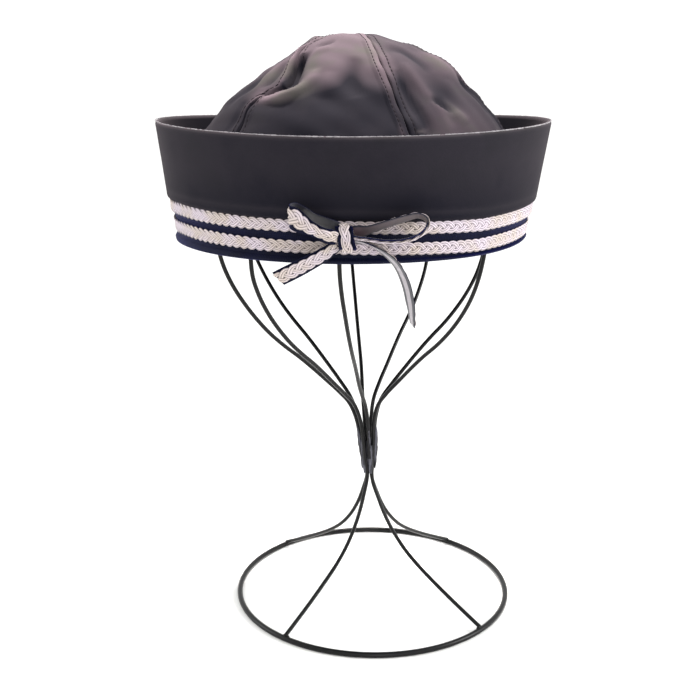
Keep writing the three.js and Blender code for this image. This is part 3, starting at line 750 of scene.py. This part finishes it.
# Painted highlight along the crest of the rolled rim and, fainter, on the bulge above the upper ribbon.
# The wall is also painted paler towards its top.
rim_crest_highlight = np.exp(-(((section[:, 1] - 276) / 1.1) ** 2))
rim_crest_highlight = rim_crest_highlight + 0.15 * np.exp(-(((section[:, 1] - 240.4) / 1.5) ** 2))
brim_painted_light = np.broadcast_to(0.8 * rim_crest_highlight + 0.15 * ease(section[:, 1], 236, 262), waver.shape)

# Polyester grosgrain, dyed navy: fine cross ribs 0.9 mm apart with a silky glow at a glancing angle.
navy = new_finish("navy_grosgrain")
grain = add_node(navy, "UVMap", uv_map="grain")[0]
ribs = add_node(
    navy, "TexWave", {"Vector": grain, "Scale": WAVE_PERIOD / 0.0009}, wave_type="BANDS",
    bands_direction="X",
)
cloud = add_node(navy, "TexNoise", {"Vector": add_node(navy, "TexCoord")["Object"], "Scale": 90.0})
navy_tone = add_node(
    navy, "Mix", {0: cloud[0], 6: linear("#05070F"), 7: linear("#090D28")}, data_type="RGBA"
)
ribbed = add_node(navy, "Bump", {"Strength": 0.4, "Distance": 0.0002, "Height": ribs["Fac"]})
silk = add_node(navy, "BsdfPrincipled", {
    "Base Color": navy_tone[2], "Roughness": 0.6, "Specular IOR Level": 0.08, "Sheen Weight": 0.12,
    "Sheen Roughness": 0.4, "Sheen Tint": linear("#2A36FF"), "Normal": ribbed[0],
})
add_node(navy, "OutputMaterial", {"Surface": silk[0]})
bound = section[:, 1] < BOUND_TOP

brim = piece(
    "brim_cloth", [sweep(brim_loops, closed=True)], [brim_twill, navy],
    finish_of=lambda side: bound[side] * 1, fade_and_painted_light=brim_painted_light,
)
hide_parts("brim")

# A fine pale thread whips the rim's outer edge, worn away in places.
pale_thread = new_finish("undyed_cotton_thread")
fuzz = add_node(pale_thread, "TexNoise", {
    "Vector": add_node(pale_thread, "TexCoord")["Object"], "Scale": 260.0, "Detail": 3.0,
})
thread_tone = add_node(
    pale_thread, "Mix", {0: fuzz[0], 6: linear("#3A383C"), 7: linear("#9C989C")}, data_type="RGBA"
)
spun_thread = add_node(pale_thread, "BsdfPrincipled", {
    "Base Color": thread_tone[2], "Roughness": 0.8, "Sheen Weight": 0.1,
})
add_node(pale_thread, "OutputMaterial", {"Surface": spun_thread[0]})

whipping = []
loose = np.random.default_rng(12)
for start in np.arange(-180, 180, WHIP_PITCH):
    long = WHIP_PITCH if loose.uniform() > 0.12 else loose.uniform(0.4, 1.2)
    along = start + np.linspace(0, long, 6)
    edge = on_waves(along, 105.0 + np.interp(along, angles[:, 0], waver[:, 0]), np.full(6, 275.9))
    fat = RIM_THREAD * np.array([0.5, 1, 1, 1, 1, 0.5]) * loose.uniform(0.7, 1.15)
    whipping.append(sweep(tube(edge, fat, 6)))
rim_stitches = piece("brim_rim_stitches", whipping, [pale_thread])


# Ribbon rounds ----------
# Navy grosgrain ribbon, 10 mm wide, laid twice round the foot of the brim. Its corded edges show
# above and below the white plait that runs along its middle.
TAPE_WIDE = 10.0
TAPE_FEET = {"lower": 217.8, "upper": 227.95}
TUCKED = {"lower": 10.0, "upper": 8.4}  # the brim bulges over the upper ribbon's top edge
TAPE_THICK = 0.55


def ribbon_loop(wide, thick, count=9):
    """A ribbon's section: places across it and off it, with a fuller cord along both edges."""
    across = np.linspace(0, wide, count)
    cord = 1 + 0.5 * np.exp(-(((np.minimum(across, wide - across) - 0.5) / 0.5) ** 2))
    cord[[0, -1]] = 0.55
    face = np.stack([across, thick / 2 * cord], -1)
    back = np.stack([across[::-1], -thick / 2 * cord[::-1]], -1)
    return np.concatenate([face, back])


def round_the_brim(foot):
    """The way a round of ribbon lies: along is a share of the round, across and off are in mm."""
    def lies(along, across, off):
        height = foot + across
        return on_waves(360 * along, bound_radius(height) + 0.3 + off, height)
    return lies


steps = np.linspace(0, 1, 300, endpoint=False)[:, None]
for place, foot in TAPE_FEET.items():
    lies = round_the_brim(foot)
    tape_section = ribbon_loop(TUCKED[place], TAPE_THICK)
    loops = lies(steps, tape_section[:, 0], tape_section[:, 1] + TAPE_THICK / 2)
    tape = piece(f"tape_{place}_ribbon", [sweep(loops, closed=True)], [navy])
    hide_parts(f"tape_{place}")


# Plaits ----------
# Three flat white cotton cords plaited together and sewn down the middle of the ribbon. The cords
# cross from edge to edge, so both edges are scalloped and dark slits show between them.
PERIOD = 14.1
SWING = 2.1
CORD_WIDE = 1.14
CORD_THICK = 0.36
CORD_RISE = 0.32
PLAIT_MIDDLE = TAPE_WIDE / 2
ROUND_PERIODS = 43

# Cotton cord, bleached and a little yellowed and pinked: matt, with painted shade in the grooves
# between its threads. The threads are 0.6 mm apart and drawn twice as coarse, to show.
cord_white = new_finish("bleached_cotton_cord")
grain = add_node(cord_white, "UVMap", uv_map="grain")[0]
threads = add_node(
    cord_white, "TexWave", {"Vector": grain, "Scale": WAVE_PERIOD / 0.00125, "Distortion": 0.8},
    wave_type="BANDS", bands_direction="Y",
)
here = add_node(cord_white, "TexCoord")["Object"]
stain = add_node(cord_white, "TexNoise", {"Vector": here, "Scale": 1 / 0.011, "Detail": 2.0})
tint = add_node(cord_white, "MapRange", {"Value": stain[0], "From Min": 0.4, "From Max": 0.62})
milk = add_node(
    cord_white, "Mix", {0: tint[0], 6: linear("#C4B8C2"), 7: linear("#BDB0AA")}, data_type="RGBA"
)
# Painted shade in the grooves between the threads.
thread_groove_shade = add_node(cord_white, "MapRange", {
    "Value": threads["Fac"], "From Max": 0.4, "To Min": 0.3, "To Max": 1.0,
})
shaded = add_node(
    cord_white, "Mix", {0: 1.0, 6: milk[2], 7: thread_groove_shade[0]}, data_type="RGBA", blend_type="MULTIPLY"
)
spun = add_node(cord_white, "Bump", {"Strength": 0.6, "Distance": 0.0003, "Height": threads["Fac"]})
cotton = add_node(cord_white, "BsdfPrincipled", {
    "Base Color": shaded[2], "Roughness": 0.8, "Sheen Weight": 0.15, "Normal": spun[0],
})
add_node(cord_white, "OutputMaterial", {"Surface": cotton[0]})


def plait(lies, length, periods, closed, off=None, swing=SWING, cord_wide=CORD_WIDE,
          plait_middle=PLAIT_MIDDLE):
    """The three cords of a plait that lies on a ribbon."""
    count = int(periods * 15)
    along = np.linspace(0, 1, count, endpoint=not closed)
    turn = np.linspace(0, 2 * np.pi, 10, endpoint=False)
    flat_round = np.sign(np.cos(turn)) * np.abs(np.cos(turn)) ** 0.75
    lifted = TAPE_THICK + CORD_RISE + CORD_THICK if off is None else off
    cords = []
    for cord in range(3):
        phase = 2 * np.pi * (along * periods + cord / 3)
        middle = plait_middle + swing * np.sin(phase)
        heading = np.arctan(swing * 2 * np.pi / PERIOD * np.cos(phase))[:, None]
        wide = np.broadcast_to(cord_wide, count)[:, None] * flat_round
        across = middle[:, None] + wide * np.cos(heading)
        onwards = along[:, None] - wide * np.sin(heading) / length
        rise = lifted - CORD_RISE * np.sin(2 * phase)[:, None] + CORD_THICK * np.sin(turn)
        cords.append(sweep(lies(onwards, across, rise), closed=closed))
    return cords


for place, foot in TAPE_FEET.items():
    lies = round_the_brim(foot)
    round_length = 2 * np.pi * (bound_radius(foot + 5) + 1.5)
    from_front = np.abs((np.linspace(0, 360, ROUND_PERIODS * 15, endpoint=False) + 180) % 360 - 180)
    cord_wide = CORD_WIDE + 0.3 * ease(from_front, 22, 58)
    cords = plait(lies, round_length, ROUND_PERIODS, True, cord_wide=cord_wide)
    sewn_on = piece(f"plait_{place}_cords", cords, [cord_white])
    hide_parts(f"plait_{place}")


# Bow ----------
# The end of the ribbon is tied at the front in a small bow: two loops, two cut tails and the turn
# that binds them. The ribbon twists, so its plaited face and its smooth reverse both show.
# Each strand: place along the front, distance off the brim, height, lean of its upper edge away from
# upright, width, and where it is given, how far that edge turns to the right.
STRANDS = {
    "bow_loop_left": [
        (-6.6, 5.2, 232.2, 15, 7), (-11.5, 6.2, 235, 44, 8), (-17, 6.6, 237, 48, 8.6),
        (-21.4, 7.4, 238.8, 38, 9.4), (-25.8, 8.8, 239.4, 6, 10), (-27.2, 10.8, 238.6, 0, 10.4),
        (-25, 12.8, 237, 0, 10.5), (-19.5, 12.8, 233.8, 32, 9.2), (-13.5, 11.6, 231, 45, 8.5),
        (-9.5, 10.4, 229.2, 20, 7.5), (-6.6, 9.2, 228.4, 0, 6),
    ],
    "bow_loop_right": [
        (1.5, 5.2, 230.5, 20, 7), (8, 6.8, 232, 56, 8), (16, 8.2, 234.6, 60, 8.4),
        (24.5, 9, 237, 62, 8.6), (31, 9.4, 238, 68, 9), (34.6, 10.2, 235.4, 72, 9),
        (32.8, 11.6, 231.4, 74, 9), (26.5, 12, 228.2, 77, 9), (16, 11.2, 227.4, 77, 9),
        (7, 9.8, 228.6, 78, 8), (1.5, 8.8, 229.2, 80, 6.6),
    ],
    "bow_tail_left": [
        (-6.4, 5.6, 224.6, 30, 7.5), (-11, 6.6, 221, 35, 9), (-22, 7.4, 214.6, 35, 10),
        (-34, 7.8, 208, 35, 10),
    ],
    "bow_tail_right": [
        (1.8, 5.2, 226.4, 60, 5.6), (8.5, 6.8, 224.8, 82, 8.4), (15, 8.4, 221.0, 72, 9.6, 6),
        (20.8, 9.4, 215.6, 72, 10, 12), (25.0, 10, 207.6, 76, 10, 20), (27.6, 10.2, 197.0, 80, 10, 20),
        (28.8, 9.8, 186.6, 82, 10, 8),
    ],
}
PLAIT_SIDE = {"bow_loop_left": 1, "bow_loop_right": -1, "bow_tail_left": -1, "bow_tail_right": -1}
# The reverse of each strand: the colours of its lining, painted with that strand's own light and
# shade (near black inside the shaded left loop, pale grey on the lit right tail), and how wide its
# navy edges are.
REVERSE_PAINTED_LIGHT = {
    "bow_loop_left": ("#0A0A10", "#2E2C36", 1.3), "bow_loop_right": ("#2E2428", "#5E4A52", 1.3),
    "bow_tail_left": ("#5A484E", "#8C8488", 1.3), "bow_tail_right": ("#ACA6AC", "#8C868C", 3.0),
}
# How the ribbon's plait is spread on each strand: its swing, half a cord's width, and where its
# middle lies at the strand's start and at its end.
PLAIT_SPREAD = {
    "bow_loop_left": (2.6, 1.4, 3.9, 5.9), "bow_loop_right": (2.0, 1.3, 3.8, 5.4),
    "bow_tail_left": (2.6, 1.35, 5.8, 5.8), "bow_tail_right": (1.5, 1.0, 5.0, 5.0),
}


def before_brim(x, off, height):
    """A point in front of the brim, by its place along the front instead of an angle."""
    radius = bound_radius(height) + off
    turned = np.arcsin(x / radius)
    return np.stack([radius * np.sin(turned), -radius * np.cos(turned), height], -1)


def strand(rows, side):
    """The way a strand of the bow lies, and its length. across is 0 to 10 whatever its width."""
    rows = np.array([[*row, 0][:6] for row in rows], float)
    shapes = np.column_stack([before_brim(*rows[:, :3].T), rows[:, 3:]])
    dense = smooth_line(shapes[:, :3], 400)
    run = np.linspace(0, 1, 400)
    knots = np.array([np.linalg.norm(dense - stop, axis=1).argmin() / 399 for stop in shapes[:, :3]])
    lean = np.radians(np.interp(run, knots, shapes[:, 3]))
    wide = np.interp(run, knots, shapes[:, 4])
    yaw = np.radians(np.interp(run, knots, shapes[:, 5]))
    kernel = np.hanning(41) / np.hanning(41).sum()
    lean, wide, yaw = (
        np.convolve(np.pad(v, 20, mode="edge"), kernel, "valid") for v in (lean, wide, yaw)
    )
    along = unit(np.gradient(dense, axis=0))
    width = np.stack([np.sin(yaw), -np.sin(lean) * np.cos(yaw), np.cos(lean) * np.cos(yaw)], -1)
    width = unit(width - along * np.einsum("ij,ij->i", width, along)[:, None])
    facing = np.cross(along, width) * side
    length = np.linalg.norm(np.diff(dense, axis=0), axis=1).sum()

    def lies(at, across, off):
        at, across, off = np.broadcast_arrays(at, across, off)
        place = np.stack([np.interp(at, run, dense[:, n]) for n in range(3)], -1)
        sideways = np.stack([np.interp(at, run, (width * wide[:, None])[:, n]) for n in range(3)], -1)
        out = np.stack([np.interp(at, run, facing[:, n]) for n in range(3)], -1)
        return place + sideways * (across / TAPE_WIDE - 0.5)[..., None] + out * off[..., None]
    return lies, length


def ribbon_reverse(name, colour, streak, edge_wide):
    """The ribbon's smooth back: a satin lining between the two navy edges, its colours painted with the
    strand's light and shade.
    """
    finish = new_finish(name)
    grain = add_node(finish, "UVMap", uv_map="grain")[0]
    place = add_node(finish, "SeparateXYZ", {0: grain})
    inwards = add_node(finish, "Math", {0: place[1], 1: TAPE_WIDE / 2 * MM}, operation="SUBTRACT")
    apart = add_node(finish, "Math", {0: inwards[0]}, operation="ABSOLUTE")
    edge = add_node(finish, "MapRange", {
        "Value": apart[0], "From Min": (TAPE_WIDE / 2 - edge_wide) * MM,
        "From Max": (TAPE_WIDE / 2 - edge_wide + 0.4) * MM,
    })
    streaks = add_node(finish, "TexNoise", {
        "Vector": add_node(finish, "TexCoord")["Object"], "Scale": 300.0, "Detail": 2.0,
    })
    lining = add_node(
        finish, "Mix", {0: streaks[0], 6: linear(colour), 7: linear(streak)}, data_type="RGBA"
    )
    tone = add_node(finish, "Mix", {0: edge[0], 6: lining[2], 7: linear("#0C0C20")}, data_type="RGBA")
    satin = add_node(finish, "BsdfPrincipled", {
        "Base Color": tone[2], "Roughness": 0.5, "Sheen Weight": 0.2,
    })
    add_node(finish, "OutputMaterial", {"Surface": satin[0]})
    return finish


for name, rows in STRANDS.items():
    lies, length = strand(rows, PLAIT_SIDE[name])
    loop = ribbon_loop(TAPE_WIDE, TAPE_THICK)
    at = np.linspace(0, 1, int(length * 1.2))[:, None]
    loops = lies(at, loop[:, 0], loop[:, 1])
    grain = np.stack(np.broadcast_arrays(at * length, loop[:, 0]), -1)
    half_way = len(loop) // 2
    satin = ribbon_reverse(name + "_satin_painted_light", *REVERSE_PAINTED_LIGHT[name])
    ribbon = piece(
        name + "_ribbon", [sweep(loops, grain=grain)], [navy, satin],
        finish_of=lambda side: (side >= half_way) * 1,
    )
    periods = length / PERIOD
    swing, cord_wide, starts, ends = PLAIT_SPREAD[name]
    shifts = starts + (ends - starts) * ease(np.linspace(0, 1, int(periods * 15)), 0.38, 0.56)
    cords = plait(
        lies, length, periods, False, TAPE_THICK / 2 + CORD_RISE + CORD_THICK, swing, cord_wide, shifts
    )
    cords = piece(name + "_cords", cords, [cord_white])
    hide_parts(name)


# Knot ----------
# One tight turn of the ribbon over the crossing of the loops and tails. It is gathered, so its
# plait is squeezed into upright creases between the two navy edges.
KNOT_PLACE = (-2.4, 3.2, 228.0)
KNOT_WIDE = 8.4
KNOT_TALL = 11.0
KNOT_THICK = 7.0
KNOT_BEND = 0.98 * np.pi  # how far the turn goes round, each way from its middle
KNOT_CORD = 34.0  # how long its cords are
CREASE_PITCH = 2.3
knot_middle = before_brim(KNOT_PLACE[0], KNOT_PLACE[1] + KNOT_THICK / 2, KNOT_PLACE[2])


def over_knot(along, across, off):
    along, across, off = np.broadcast_arrays(along, across, off)
    bend = (2 * along - 1) * KNOT_BEND
    pinch = 0.82 + 0.18 * np.cos(bend) - 0.12 * np.cos(2 * bend)
    x = (across / TAPE_WIDE - 0.5) * KNOT_WIDE * pinch + 0.9 * np.sin(bend)
    fall = (2 * across / TAPE_WIDE - 1) ** 2
    reach = KNOT_THICK / 2 * (1 - 0.25 * fall) + off
    tall = KNOT_TALL / 2 * (1 - 0.1 * fall) + off
    return knot_middle + np.stack([x, -reach * np.cos(bend), -tall * np.sin(bend)], -1)


knot_loop = ribbon_loop(TAPE_WIDE, TAPE_THICK, 15)
creases = 0.35 * np.cos(knot_loop[:, 0] * 2 * np.pi / CREASE_PITCH)
knot = piece(
    "bow_knot_turn",
    [sweep(over_knot(np.linspace(0, 1, 60)[:, None], knot_loop[:, 0], knot_loop[:, 1] + creases))],
    [navy],
)
knot_cords = piece(
    "bow_knot_cords", plait(over_knot, KNOT_CORD, 2, False, off=TAPE_THICK / 2 + 0.55), [cord_white]
)
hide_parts("bow_knot")
